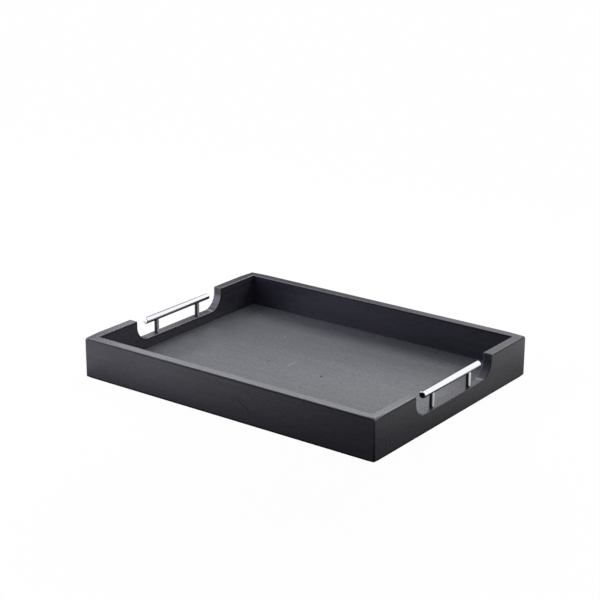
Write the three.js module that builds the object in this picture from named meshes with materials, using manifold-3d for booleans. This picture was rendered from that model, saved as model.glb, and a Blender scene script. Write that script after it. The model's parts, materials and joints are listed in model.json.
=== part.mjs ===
// Butler tray. Four rails, mitred at the corners and held there by loose tongues, stand round a floor
// panel that is let into a groove. Each end rail has a wide notch, and in it a T-bar handle: a round bar
// on two posts, each screwed down through the rail from below.
// Millimetres, +Z up. X runs along the long rails, Y from front to back, and the origin is the middle of
// the base.

import * as THREE from 'three';
import { mergeVertices } from 'three/addons/utils/BufferGeometryUtils.js';
import Module from 'manifold-3d';

// Rails
const TRAY_LENGTH = 490;
const TRAY_WIDTH = 380;
const RAIL_HEIGHT = 59;
const RAIL_THICKNESS = 14;
const CORNER_RADIUS = 3; // upright outer corners
const ARRIS_RADIUS = 1.5; // long edges of the rails and edges of the notches
const MITRE_GLUE_LINE = 0.2;

// Floor panel, let into a groove round the inside of the rails
const FLOOR_HEIGHT = 12; // top of the panel above the base
const PANEL_THICKNESS = 5;
const PANEL_EASING = 0.5; // edges taken off so that the panel slides in
const GROOVE_DEPTH = 3; // how far the panel enters each rail
const GROOVE_PLAY = 0.15; // above the panel, and below it
const PANEL_EDGE_GAP = 0.3; // from the panel's edge to the bottom of the groove

// Loose tongues, one across each mitre
const TONGUE_WIDTH = 12; // across the joint, half in each rail
const TONGUE_THICKNESS = 3;
const TONGUE_END_RADIUS = 3;
const TONGUE_TOWARDS_INSIDE = 2; // from the middle of the mitre, where the wood is deeper
const TONGUE_ABOVE_FLOOR = 6;
const TONGUE_BELOW_RIM = 9;
const TONGUE_CLEARANCE = 0.3;

// Notches in the end rails
const NOTCH_DEPTH = 32; // from the rim down
const NOTCH_CORNER_RADIUS = 23;
const NOTCH_LIP_RADIUS = 4;
const NOTCH_SIDE_ROOM = 24; // from the bar's end to the notch's side

// Handles
const BAR_DIAMETER = 9.5;
const BAR_CHAMFER = 0.8;
const BAR_OVERHANG = 25; // from a post's axis to the bar's end
const POST_SPACING = 92;
const POST_DIAMETER = 7;
const FINGER_GAP = 19.5; // from the notch's floor to the underside of the bar
const SADDLE_CLEARANCE = 0.15; // between a post's hollowed top and the bar
const SPIGOT_DIAMETER = 4; // turned on the post's top and let into the bar
const SPIGOT_PAST_BAR_AXIS = 1;
const SPIGOT_CLEARANCE = 0.2;
const SEAT_GAP = 0.1; // between faces that bear on each other

// Screws and washers under the end rails
const SCREW_DIAMETER = 3.9;
const SCREW_TIP_CHAMFER = 0.5;
const SCREW_ENGAGEMENT = 12; // length in the post
const SCREW_HEAD_DIAMETER = 7;
const SCREW_HEAD_HEIGHT = 2.4;
const SCREW_HEAD_ROUNDING = 1.6;
const SOCKET_ACROSS_FLATS = 2.5;
const SOCKET_DEPTH = 1.3;
const THREAD_CLEARANCE = 0.2; // between the screw and the post's bore
const BORE_PAST_SCREW = 1;
const SCREW_HOLE_CLEARANCE = 0.3; // between the screw and the wood
const WASHER_DIAMETER = 8;
const WASHER_THICKNESS = 0.8;
const WASHER_HOLE_CLEARANCE = 0.2;
const RECESS_CLEARANCE = 0.3; // between the washer and the recess that it lies in
const WOOD_ABOVE_RECESS = 1.35; // between the recess and the panel's groove

// How finely curves are divided
const ROUND_SEGMENTS = 32;
const NOTCH_SEGMENTS = 10;
const ARRIS_SEGMENTS = 3;
const CORNER_SEGMENTS = 3;
const PROFILE_SEGMENTS = 4;
const HEX_SIDES = 6;

// Places worked out from the sizes
const MID_RAIL = RAIL_THICKNESS / 2;
const NOTCH_FLOOR = RAIL_HEIGHT - NOTCH_DEPTH;
const BAR_LENGTH = POST_SPACING + 2 * BAR_OVERHANG;
const BAR_AXIS_HEIGHT = NOTCH_FLOOR + FINGER_GAP + BAR_DIAMETER / 2;
const NOTCH_HALF_WIDTH = BAR_LENGTH / 2 + NOTCH_SIDE_ROOM;
const GROOVE_TOP = FLOOR_HEIGHT + GROOVE_PLAY;
const GROOVE_BOTTOM = FLOOR_HEIGHT - PANEL_THICKNESS - GROOVE_PLAY;
const RECESS_ROOF = GROOVE_BOTTOM - WOOD_ABOVE_RECESS;
const WASHER_TOP = RECESS_ROOF - SEAT_GAP;
const SCREW_HEAD_TOP = WASHER_TOP - WASHER_THICKNESS - SEAT_GAP;
const SCREW_HEAD_BOTTOM = SCREW_HEAD_TOP - SCREW_HEAD_HEIGHT;
const SCREW_TIP = NOTCH_FLOOR + SCREW_ENGAGEMENT;
const TONGUE_BOTTOM = FLOOR_HEIGHT + TONGUE_ABOVE_FLOOR;
const TONGUE_TOP = RAIL_HEIGHT - TONGUE_BELOW_RIM;
const TONGUE_FROM_CORNER = MID_RAIL + TONGUE_TOWARDS_INSIDE / Math.SQRT2; // along X and along Y alike

const wasm = await Module();
wasm.setup();

// Joining and cutting

function solidOf(geometry) {
  geometry.deleteAttribute('normal');
  geometry.deleteAttribute('uv');
  const merged = mergeVertices(geometry);
  const corners = merged.index.array;
  const kept = [];
  for (let i = 0; i < corners.length; i += 3) {
    const [a, b, c] = corners.slice(i, i + 3);
    // The triangles at a turned piece's poles have no area and are left out.
    if (a !== b && b !== c && c !== a) {
      kept.push(a, b, c);
    }
  }
  const mesh = new wasm.Mesh({
    numProp: 3,
    vertProperties: merged.attributes.position.array,
    triVerts: new Uint32Array(kept),
  });
  return new wasm.Manifold(mesh);
}

function geometryOf(solid) {
  const mesh = solid.getMesh();
  const geometry = new THREE.BufferGeometry();
  geometry.setAttribute('position', new THREE.BufferAttribute(mesh.vertProperties, 3));
  geometry.setIndex(new THREE.BufferAttribute(mesh.triVerts, 1));
  geometry.computeVertexNormals();
  return geometry;
}

// Simple forms

function uprightCylinder(radius, bottom, top, sides = ROUND_SEGMENTS) {
  const geometry = new THREE.CylinderGeometry(radius, radius, top - bottom, sides);
  geometry.rotateX(Math.PI / 2);
  geometry.translate(0, 0, (bottom + top) / 2);
  return geometry;
}

// Turns a profile, given as radius and height, about the Z axis.
function uprightTurning(profile) {
  const geometry = new THREE.LatheGeometry(profile.getPoints(PROFILE_SEGMENTS), ROUND_SEGMENTS);
  geometry.rotateX(Math.PI / 2);
  return geometry;
}

function roundedRectangle(width, bottom, top, radius) {
  const half = width / 2;
  const outline = new THREE.Shape();
  outline.moveTo(-half + radius, bottom);
  outline.lineTo(half - radius, bottom);
  outline.absarc(half - radius, bottom + radius, radius, -Math.PI / 2, 0, false);
  outline.absarc(half - radius, top - radius, radius, 0, Math.PI / 2, false);
  outline.absarc(-half + radius, top - radius, radius, Math.PI / 2, Math.PI, false);
  outline.absarc(-half + radius, bottom + radius, radius, Math.PI, Math.PI * 1.5, false);
  outline.closePath();
  return outline;
}

// Rails. Each is made lying along X, with its outer face at y = 0 and its inner face at y = RAIL_THICKNESS.

// The rail seen from above: mitred ends, less half the glue line, and rounded outer corners.
function railPlan(length) {
  const half = length / 2;
  const setBack = MITRE_GLUE_LINE / Math.SQRT2;
  const arcCentre = half - CORNER_RADIUS;
  const arcStop = Math.PI / 4 - Math.asin(setBack / (CORNER_RADIUS * Math.SQRT2));
  const downwards = Math.PI * 1.5;
  const plan = new THREE.Shape();
  plan.moveTo(half - RAIL_THICKNESS - setBack, RAIL_THICKNESS);
  plan.lineTo(-half + RAIL_THICKNESS + setBack, RAIL_THICKNESS);
  plan.absarc(-arcCentre, CORNER_RADIUS, CORNER_RADIUS, downwards - arcStop, downwards, false);
  plan.absarc(arcCentre, CORNER_RADIUS, CORNER_RADIUS, downwards, downwards + arcStop, false);
  plan.closePath();
  return plan;
}

// The rail seen from outside, running past both mitres.
function railElevation(length, notched) {
  const end = length / 2 + RAIL_THICKNESS;
  const outline = new THREE.Shape();
  outline.moveTo(-end, 0);
  outline.lineTo(end, 0);
  outline.lineTo(end, RAIL_HEIGHT);
  if (notched) {
    cutNotch(outline);
  }
  outline.lineTo(-end, RAIL_HEIGHT);
  outline.closePath();
  return outline;
}

// Leads an outline that runs along the rim down one side of the notch, along its floor and up again.
function cutNotch(outline) {
  const half = NOTCH_HALF_WIDTH;
  const lip = NOTCH_LIP_RADIUS;
  const corner = Math.min(NOTCH_CORNER_RADIUS, NOTCH_DEPTH - lip);
  outline.absarc(half + lip, RAIL_HEIGHT - lip, lip, Math.PI / 2, Math.PI, false);
  outline.absarc(half - corner, NOTCH_FLOOR + corner, corner, 0, -Math.PI / 2, true);
  outline.absarc(-half + corner, NOTCH_FLOOR + corner, corner, -Math.PI / 2, -Math.PI, true);
  outline.absarc(-half - lip, RAIL_HEIGHT - lip, lip, 0, Math.PI / 2, false);
}

function railBlank(length, notched) {
  const board = new THREE.ExtrudeGeometry(railElevation(length, notched), {
    depth: RAIL_THICKNESS - 2 * ARRIS_RADIUS,
    bevelThickness: ARRIS_RADIUS,
    bevelSize: ARRIS_RADIUS,
    bevelOffset: -ARRIS_RADIUS,
    bevelSegments: ARRIS_SEGMENTS,
    curveSegments: NOTCH_SEGMENTS,
  });
  board.rotateX(Math.PI / 2);
  board.translate(0, RAIL_THICKNESS - ARRIS_RADIUS, 0);
  const mitred = new THREE.ExtrudeGeometry(railPlan(length), {
    depth: 2 * RAIL_HEIGHT,
    bevelEnabled: false,
    curveSegments: CORNER_SEGMENTS,
  });
  mitred.translate(0, 0, -RAIL_HEIGHT / 2);
  return solidOf(board).intersect(solidOf(mitred));
}

function panelGroove(length) {
  const depth = GROOVE_DEPTH + PANEL_EDGE_GAP;
  const groove = new THREE.BoxGeometry(length, 2 * depth, GROOVE_TOP - GROOVE_BOTTOM);
  groove.translate(0, RAIL_THICKNESS, (GROOVE_TOP + GROOVE_BOTTOM) / 2);
  return solidOf(groove);
}

// A tongue standing across a joint in the YZ plane, or with a clearance, the slot for it.
function tongueForm(clearance) {
  const thickness = TONGUE_THICKNESS + 2 * clearance;
  const outline = roundedRectangle(
    TONGUE_WIDTH + 2 * clearance,
    TONGUE_BOTTOM - clearance,
    TONGUE_TOP + clearance,
    TONGUE_END_RADIUS,
  );
  const form = new THREE.ExtrudeGeometry(outline, {
    depth: thickness,
    bevelEnabled: false,
    curveSegments: CORNER_SEGMENTS,
  });
  form.rotateX(Math.PI / 2);
  form.translate(0, thickness / 2, 0);
  return form;
}

function tongueSlot(length, side) {
  const slot = tongueForm(TONGUE_CLEARANCE);
  slot.rotateZ(side * Math.PI / 4);
  slot.translate(side * (length / 2 - TONGUE_FROM_CORNER), TONGUE_FROM_CORNER, 0);
  return solidOf(slot);
}

function screwHole(along) {
  const shankRadius = SCREW_DIAMETER / 2 + SCREW_HOLE_CLEARANCE;
  const recessRadius = WASHER_DIAMETER / 2 + RECESS_CLEARANCE;
  const shank = uprightCylinder(shankRadius, -RAIL_HEIGHT, 2 * RAIL_HEIGHT);
  const recess = uprightCylinder(recessRadius, -RAIL_HEIGHT, RECESS_ROOF);
  shank.translate(along, MID_RAIL, 0);
  recess.translate(along, MID_RAIL, 0);
  return solidOf(shank).add(solidOf(recess));
}

function rail(length, notched) {
  let solid = railBlank(length, notched).subtract(panelGroove(length));
  for (const side of [-1, 1]) {
    solid = solid.subtract(tongueSlot(length, side));
    if (notched) {
      solid = solid.subtract(screwHole(side * POST_SPACING / 2));
    }
  }
  return geometryOf(solid);
}

// Floor panel

function floorPanel() {
  const halfLength = TRAY_LENGTH / 2 - RAIL_THICKNESS + GROOVE_DEPTH;
  const halfWidth = TRAY_WIDTH / 2 - RAIL_THICKNESS + GROOVE_DEPTH;
  const outline = new THREE.Shape();
  outline.moveTo(-halfLength, -halfWidth);
  outline.lineTo(halfLength, -halfWidth);
  outline.lineTo(halfLength, halfWidth);
  outline.lineTo(-halfLength, halfWidth);
  outline.closePath();
  const panel = new THREE.ExtrudeGeometry(outline, {
    depth: PANEL_THICKNESS - 2 * PANEL_EASING,
    bevelThickness: PANEL_EASING,
    bevelSize: PANEL_EASING,
    bevelOffset: -PANEL_EASING,
    bevelSegments: 1,
  });
  panel.translate(0, 0, FLOOR_HEIGHT - PANEL_THICKNESS + PANEL_EASING);
  return geometryOf(solidOf(panel));
}

// Handles. Each is made standing in the YZ plane, at its height above the base.

function handleBar() {
  const radius = BAR_DIAMETER / 2;
  const end = BAR_LENGTH / 2;
  const profile = new THREE.Path();
  profile.moveTo(0, -end);
  profile.lineTo(radius - BAR_CHAMFER, -end);
  profile.lineTo(radius, -end + BAR_CHAMFER);
  profile.lineTo(radius, end - BAR_CHAMFER);
  profile.lineTo(radius - BAR_CHAMFER, end);
  profile.lineTo(0, end);
  const turned = new THREE.LatheGeometry(profile.getPoints(PROFILE_SEGMENTS), ROUND_SEGMENTS);
  turned.translate(0, 0, BAR_AXIS_HEIGHT);
  let solid = solidOf(turned);
  for (const side of [-1, 1]) {
    const hole = uprightCylinder(
      SPIGOT_DIAMETER / 2 + SPIGOT_CLEARANCE,
      NOTCH_FLOOR,
      BAR_AXIS_HEIGHT + SPIGOT_PAST_BAR_AXIS + SPIGOT_CLEARANCE,
    );
    hole.translate(0, side * POST_SPACING / 2, 0);
    solid = solid.subtract(solidOf(hole));
  }
  return geometryOf(solid);
}

// A post: hollowed on top to sit against the bar, with a spigot that enters it and a bore for the screw.
function handlePost() {
  const saddleRadius = BAR_DIAMETER / 2 + SADDLE_CLEARANCE;
  const saddle = new THREE.CylinderGeometry(saddleRadius, saddleRadius, 2 * POST_DIAMETER, ROUND_SEGMENTS);
  saddle.translate(0, 0, BAR_AXIS_HEIGHT);
  const body = uprightCylinder(POST_DIAMETER / 2, NOTCH_FLOOR + SEAT_GAP, BAR_AXIS_HEIGHT);
  const spigot = uprightCylinder(
    SPIGOT_DIAMETER / 2,
    NOTCH_FLOOR + FINGER_GAP / 2,
    BAR_AXIS_HEIGHT + SPIGOT_PAST_BAR_AXIS,
  );
  const bore = uprightCylinder(
    SCREW_DIAMETER / 2 + THREAD_CLEARANCE,
    NOTCH_FLOOR - SCREW_ENGAGEMENT,
    SCREW_TIP + BORE_PAST_SCREW,
  );
  const shaped = solidOf(body).subtract(solidOf(saddle)).add(solidOf(spigot));
  return geometryOf(shaped.subtract(solidOf(bore)));
}

function handleScrew() {
  const shank = SCREW_DIAMETER / 2;
  const head = SCREW_HEAD_DIAMETER / 2;
  const rounding = SCREW_HEAD_ROUNDING;
  const roundingHeight = SCREW_HEAD_BOTTOM + rounding;
  const profile = new THREE.Path();
  profile.moveTo(0, SCREW_HEAD_BOTTOM);
  profile.lineTo(head - rounding, SCREW_HEAD_BOTTOM);
  profile.absarc(head - rounding, roundingHeight, rounding, -Math.PI / 2, 0, false);
  profile.lineTo(head, SCREW_HEAD_TOP);
  profile.lineTo(shank, SCREW_HEAD_TOP);
  profile.lineTo(shank, SCREW_TIP - SCREW_TIP_CHAMFER);
  profile.lineTo(shank - SCREW_TIP_CHAMFER, SCREW_TIP);
  profile.lineTo(0, SCREW_TIP);
  const socket = uprightCylinder(
    SOCKET_ACROSS_FLATS / (2 * Math.cos(Math.PI / HEX_SIDES)),
    SCREW_HEAD_BOTTOM - SOCKET_DEPTH,
    SCREW_HEAD_BOTTOM + SOCKET_DEPTH,
    HEX_SIDES,
  );
  return geometryOf(solidOf(uprightTurning(profile)).subtract(solidOf(socket)));
}

function handleWasher() {
  const inner = SCREW_DIAMETER / 2 + WASHER_HOLE_CLEARANCE;
  const outer = WASHER_DIAMETER / 2;
  const underside = WASHER_TOP - WASHER_THICKNESS;
  const profile = new THREE.Path();
  profile.moveTo(inner, underside);
  profile.lineTo(outer, underside);
  profile.lineTo(outer, WASHER_TOP);
  profile.lineTo(inner, WASHER_TOP);
  profile.lineTo(inner, underside);
  return geometryOf(solidOf(uprightTurning(profile)));
}

// Materials

function stainedWood() {
  return new THREE.MeshStandardMaterial({ color: 0x2e2d32, roughness: 0.42, metalness: 0 });
}

function stainedPanel() {
  return new THREE.MeshStandardMaterial({ color: 0x3b3b3f, roughness: 0.38, metalness: 0 });
}

function bareBeech() {
  return new THREE.MeshStandardMaterial({ color: 0xc8a67a, roughness: 0.7, metalness: 0 });
}

function polishedChrome() {
  return new THREE.MeshStandardMaterial({ color: 0xdcdde0, roughness: 0.06, metalness: 1 });
}

function platedSteel() {
  return new THREE.MeshStandardMaterial({ color: 0xb4b6ba, roughness: 0.3, metalness: 1 });
}

// Assembly

function piece(name, geometry, material) {
  const mesh = new THREE.Mesh(geometry, material);
  mesh.name = name;
  return mesh;
}

function railFrame() {
  const frame = new THREE.Group();
  const places = [
    { name: 'front_rail', length: TRAY_LENGTH, notched: false, turn: 0, x: 0, y: -TRAY_WIDTH / 2 },
    { name: 'right_end_rail', length: TRAY_WIDTH, notched: true, turn: 1, x: TRAY_LENGTH / 2, y: 0 },
    { name: 'back_rail', length: TRAY_LENGTH, notched: false, turn: 2, x: 0, y: TRAY_WIDTH / 2 },
    { name: 'left_end_rail', length: TRAY_WIDTH, notched: true, turn: 3, x: -TRAY_LENGTH / 2, y: 0 },
  ];
  for (const { name, length, notched, turn, x, y } of places) {
    const mesh = piece(name, rail(length, notched), stainedWood());
    mesh.rotation.z = turn * Math.PI / 2;
    mesh.position.set(x, y, 0);
    frame.add(mesh);
  }
  return frame;
}

function mitreTongues() {
  const tongues = new THREE.Group();
  for (const [depthName, depthSide] of [['front', -1], ['back', 1]]) {
    for (const [sideName, side] of [['left', -1], ['right', 1]]) {
      const form = geometryOf(solidOf(tongueForm(0)));
      const mesh = piece(`${depthName}_${sideName}_tongue`, form, bareBeech());
      mesh.rotation.z = -side * depthSide * Math.PI / 4;
      mesh.position.x = side * (TRAY_LENGTH / 2 - TONGUE_FROM_CORNER);
      mesh.position.y = depthSide * (TRAY_WIDTH / 2 - TONGUE_FROM_CORNER);
      tongues.add(mesh);
    }
  }
  return tongues;
}

function handle(sideName) {
  const group = new THREE.Group();
  group.add(piece(`${sideName}_handle_bar`, handleBar(), polishedChrome()));
  for (const [depthName, depthSide] of [['front', -1], ['back', 1]]) {
    const station = new THREE.Group();
    const label = `${sideName}_handle_${depthName}`;
    station.position.y = depthSide * POST_SPACING / 2;
    station.add(piece(`${label}_post`, handlePost(), polishedChrome()));
    station.add(piece(`${label}_screw`, handleScrew(), platedSteel()));
    station.add(piece(`${label}_washer`, handleWasher(), platedSteel()));
    group.add(station);
  }
  return group;
}

const tray = new THREE.Group();
tray.add(railFrame());
tray.add(mitreTongues());
tray.add(piece('floor_panel', floorPanel(), stainedPanel()));
for (const [sideName, side] of [['left', -1], ['right', 1]]) {
  const group = handle(sideName);
  group.position.x = side * (TRAY_LENGTH / 2 - MID_RAIL);
  tray.add(group);
}

export default tray;
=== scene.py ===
"""A butler tray of black-stained wood with polished T-bar handles, on a white studio floor.

The tray's frame gives every place: X runs along the long rails, Y from front to back, Z up, and the
origin is the middle of the base. Sizes are in metres, written as millimetres times MM.
"""

import json
import logging
import math
from dataclasses import dataclass, field
from enum import Enum
from typing import Any

import bmesh
import bpy
from bmesh.types import BMEdge, BMesh
from bpy.types import Material, Mesh, Node, NodeSocket, NodeTree, Object
from mathutils import Matrix, Vector

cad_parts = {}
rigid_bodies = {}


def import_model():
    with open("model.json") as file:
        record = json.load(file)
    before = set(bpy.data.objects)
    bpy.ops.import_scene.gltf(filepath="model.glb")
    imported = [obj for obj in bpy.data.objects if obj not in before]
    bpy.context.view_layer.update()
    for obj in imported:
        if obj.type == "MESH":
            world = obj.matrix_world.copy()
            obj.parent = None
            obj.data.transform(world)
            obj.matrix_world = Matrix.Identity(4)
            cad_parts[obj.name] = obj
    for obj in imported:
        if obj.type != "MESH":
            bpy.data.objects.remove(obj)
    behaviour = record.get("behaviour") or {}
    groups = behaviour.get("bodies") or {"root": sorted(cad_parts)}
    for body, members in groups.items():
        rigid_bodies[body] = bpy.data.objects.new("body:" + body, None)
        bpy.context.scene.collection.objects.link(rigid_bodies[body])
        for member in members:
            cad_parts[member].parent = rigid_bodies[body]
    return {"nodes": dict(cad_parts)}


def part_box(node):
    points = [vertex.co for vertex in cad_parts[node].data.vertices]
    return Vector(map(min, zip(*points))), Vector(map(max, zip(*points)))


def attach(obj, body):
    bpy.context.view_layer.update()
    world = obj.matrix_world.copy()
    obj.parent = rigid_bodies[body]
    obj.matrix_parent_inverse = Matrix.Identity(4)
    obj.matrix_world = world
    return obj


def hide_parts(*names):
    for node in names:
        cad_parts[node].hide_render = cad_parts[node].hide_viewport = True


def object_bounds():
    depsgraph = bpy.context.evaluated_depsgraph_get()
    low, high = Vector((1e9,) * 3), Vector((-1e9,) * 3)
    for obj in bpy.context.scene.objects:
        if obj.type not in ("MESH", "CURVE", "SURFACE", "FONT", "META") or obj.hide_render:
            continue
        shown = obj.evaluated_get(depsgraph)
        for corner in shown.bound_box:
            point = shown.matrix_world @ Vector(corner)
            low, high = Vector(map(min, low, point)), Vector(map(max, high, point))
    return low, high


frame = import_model()
CAD_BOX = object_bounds()

MM = 0.001
ROOT = "root"
SHARP_ANGLE = math.radians(35)
MERGE_REACH = 1e-6
CUT_REACH = 1e-7
# Rails' edge tone: pale arrises are partly rubbed wear and partly painted highlight, dark lines beside them
# are painted shade.
EDGE_WEAR_AND_LIGHT = "edge_wear"
SOFTBOX_LIT_ENDINGS = ("_wood", "_board", "_floor")
Link = Node | NodeSocket
log = logging.getLogger("butler_tray")


class Grain(Enum):
    """The way that the wood's fibres run in a piece."""

    ALONG_X = "x"
    ALONG_Y = "y"


class Edge(Enum):
    """How an edge is worn and lit: its arris, the line on the face beside it, and the band on its other
    side.

    1 is pale, partly rubbed wear and partly painted highlight; -1 is dark, painted shade.
    """

    RUBBED = (1.0, -1.0, 0.4)
    DARK = (-1.0, -1.0, 0.0)
    SOFT = (-0.5, 0.0, -0.4)


class Colour(Enum):
    """sRGB colours, as hex values."""

    STAIN = 0x2F2E35
    STAIN_PALE = 0x37353C
    STAIN_DARK = 0x19181D
    # Pale arris tone: partly rubbed wear, partly painted highlight.
    STAIN_RUBBED = 0x525257
    PANEL = 0x525456
    PANEL_PALE = 0x5A5C5E
    PANEL_DARK = 0x303034
    SCRATCH = 0xD4D8DA
    DUST = 0xB4B8BA
    PIT = 0x101013
    CHROME = 0xFAFAF9
    # Painted dark reflection on one side of the chrome.
    CHROME_DULL = 0x424245
    ZINC = 0xB4B8BE
    ZINC_DULL = 0x9DA1A6
    BEECH = 0xC8A67A
    BEECH_RAY = 0xA9835A
    PAPER = 0xF4F4F6
    # Painted shadow of the tray on the paper, seen only in reflections.
    FELT = 0x141416
    DAYLIGHT = 0xFAFBFF
    DUSK = 0xE0E1FF
    CARD = 0xECECFF
    SOFTBOX = 0xFCFEFF


def linear(colour: Colour) -> tuple[float, float, float, float]:
    """Turns a colour to the linear values that shaders take.

    Args:
        colour: The sRGB colour.

    Returns:
        Linear red, green, blue and an alpha of 1.
    """
    channels = []
    for shift in (16, 8, 0):
        value = (colour.value >> shift & 0xFF) / 255
        channels.append(value / 12.92 if value <= 0.04045 else ((value + 0.055) / 1.055) ** 2.4)
    return (*channels, 1.0)


def add_node(tree: NodeTree, kind: str, inputs: dict[Any, Any] | None = None, **settings: Any) -> Node:
    """Adds a node to a shader or geometry tree.

    Args:
        tree: The tree that gets the node.
        kind: Blender's name for the node's type.
        inputs: Socket name or number, to a value, a socket, or a node whose first live output is linked.
        **settings: Properties of the node.

    Returns:
        The new node.
    """
    node = tree.nodes.new(kind)
    for name, value in settings.items():
        setattr(node, name, value)
    for key, value in (inputs or {}).items():
        if isinstance(value, Node):
            value = next(socket for socket in value.outputs if socket.enabled)
        if isinstance(value, NodeSocket):
            tree.links.new(value, node.inputs[key])
        else:
            node.inputs[key].default_value = value
    return node


# Finishes


@dataclass(frozen=True)
class Finish:
    """A finish, made as a node material of its own name."""

    name: str

    def shader(self, tree: NodeTree) -> Node:
        """Adds the finish's nodes and gives the last one."""
        raise NotImplementedError

    def build(self) -> Material:
        """Makes the material.

        Returns:
            The material, with the finish's nodes in it.
        """
        material = bpy.data.materials.new(self.name)
        material.use_nodes = True
        material.node_tree.nodes.clear()
        shader = self.shader(material.node_tree)
        add_node(material.node_tree, "ShaderNodeOutputMaterial", {"Surface": shader})
        return material


@dataclass(frozen=True)
class Cells:
    """A pattern of cells in wood: their size along and across the grain, and how rough and bent they are."""

    length: float
    width: float
    detail: float
    roughness: float
    distortion: float = 0.0


@dataclass(frozen=True)
class Mark:
    """A small mark in a finish: its middle, its size, how it lies, its colour and how dull it is."""

    place: tuple[float, float, float]
    length: float
    width: float
    colour: Colour
    strength: float
    dull: float = 0.0
    turn: tuple[float, float, float] = (0.0, 0.0, 0.0)
    depth: float = 3 * MM


@dataclass(frozen=True)
class LacqueredStain(Finish):
    """Black-stained, close-grained wood under sprayed satin lacquer.

    The stain hides the wood's colour but not its grain: faint long streaks, hairlines of late wood, fine
    fibre lines, and small pores that the lacquer bridges. The lacquer gives a broad, soft reflection with a
    little orange peel. Arrises are paler, partly rubbed and partly painted highlight, and a thin dull line
    of painted shade lies beside them.
    Peel, pores and flecks are drawn two to three times as coarse as real ones, so that they show.
    """

    grain: Grain
    colour: Colour
    pale: Colour
    dark: Colour
    roughness: float = 0.26
    roughness_spread: float = 0.02
    ior: float = 1.50
    gloss: float = 0.5
    shade_line_gloss: float = 0.1
    shade_line_share: float = 0.9
    rub_and_highlight_share: float = 0.75
    streaks: Cells = Cells(160 * MM, 9 * MM, 4.0, 0.55, 0.6)
    rings: Cells = Cells(260 * MM, 16 * MM, 1.0, 0.4, 0.4)
    hairline_count: float = 7.0
    hairline_share: float = 0.35
    fibres: Cells = Cells(24 * MM, 1.3 * MM, 3.0, 0.6)
    fibre_relief: float = 0.003 * MM
    flecks: Cells = Cells(6 * MM, 3.5 * MM, 2.0, 0.6)
    fleck_share: float = 0.1
    pores: Cells = Cells(6 * MM, 1.6 * MM, 1.0, 0.5)
    pore_share: float = 0.5
    peel: Cells = Cells(3 * MM, 3 * MM, 2.0, 0.6)
    peel_relief: float = 0.015 * MM
    marks: tuple[Mark, ...] = ()

    def along_grain(self, tree: NodeTree, cells: Cells) -> Node:
        """Lays a pattern of cells along the grain.

        Args:
            tree: The material's tree.
            cells: The pattern.

        Returns:
            The pattern's value, about a half on average.
        """
        along, across = 1 / cells.length, 1 / cells.width
        scale = (along, across, across) if self.grain is Grain.ALONG_X else (across, along, across)
        place = add_node(tree, "ShaderNodeTexCoord").outputs["Object"]
        own = add_node(tree, "ShaderNodeMapping", {"Vector": place, "Scale": scale})
        return add_node(tree, "ShaderNodeTexNoise", {
            "Vector": own, "Scale": 1.0, "Detail": cells.detail, "Roughness": cells.roughness,
            "Distortion": cells.distortion})

    def grained(self, tree: NodeTree) -> Node:
        """Gives the stain's colour with the grain in it.

        Args:
            tree: The material's tree.

        Returns:
            The colour.
        """
        streak = add_node(tree, "ShaderNodeMapRange", {
            "Value": self.along_grain(tree, self.streaks), "From Min": 0.35, "From Max": 0.68})
        stain = add_node(tree, "ShaderNodeMix", {
            "Factor": streak, "A": linear(self.colour), "B": linear(self.pale)}, data_type="RGBA")
        fleck = add_node(tree, "ShaderNodeMapRange", {
            "Value": self.along_grain(tree, self.flecks), "From Min": 0.3, "From Max": 0.7,
            "To Min": 1 - self.fleck_share, "To Max": 1 + self.fleck_share})
        colour = add_node(tree, "ShaderNodeVectorMath", {0: stain, "Scale": fleck}, operation="SCALE")
        phase = add_node(tree, "ShaderNodeMath", {
            0: self.along_grain(tree, self.rings), 1: self.hairline_count}, operation="MULTIPLY")
        ring = add_node(tree, "ShaderNodeMath", {0: phase, 1: 0.5}, operation="PINGPONG")
        hairline = add_node(tree, "ShaderNodeMapRange", {
            "Value": ring, "From Min": 0.03, "From Max": 0.0, "To Max": self.hairline_share})
        pore = add_node(tree, "ShaderNodeMapRange", {
            "Value": self.along_grain(tree, self.pores), "From Min": 0.60, "From Max": 0.72,
            "To Max": self.pore_share})
        for share in (hairline, pore):
            colour = add_node(tree, "ShaderNodeMix", {
                "Factor": share, "A": colour, "B": linear(self.dark)}, data_type="RGBA")
        return colour

    def marked(self, tree: NodeTree, colour: Node, gloss: Node) -> tuple[Node, Node]:
        """Adds the marks of use to a colour and takes the gloss off where they are dull.

        Args:
            tree: The material's tree.
            colour: The colour below the marks.
            gloss: The gloss of the unmarked lacquer.

        Returns:
            The colour and the gloss with the marks in them.
        """
        for mark in self.marks:
            own = add_node(tree, "ShaderNodeMapping", {
                "Vector": add_node(tree, "ShaderNodeTexCoord").outputs["Object"],
                "Location": mark.place, "Rotation": mark.turn,
                "Scale": (mark.length / 2, mark.width / 2, mark.depth)}, vector_type="TEXTURE")
            reach = add_node(tree, "ShaderNodeVectorMath", {0: own}, operation="LENGTH")
            share = add_node(tree, "ShaderNodeMapRange", {
                "Value": reach, "From Min": 1.0, "From Max": 0.5, "To Max": mark.strength})
            colour = add_node(tree, "ShaderNodeMix", {
                "Factor": share, "A": colour, "B": linear(mark.colour)}, data_type="RGBA")
            if mark.dull:
                left = add_node(tree, "ShaderNodeMapRange", {
                    "Value": reach, "From Min": 1.0, "From Max": 0.5,
                    "To Min": 1.0, "To Max": 1 - mark.dull})
                gloss = add_node(tree, "ShaderNodeMath", {0: gloss, 1: left}, operation="MULTIPLY")
        return colour, gloss

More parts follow.
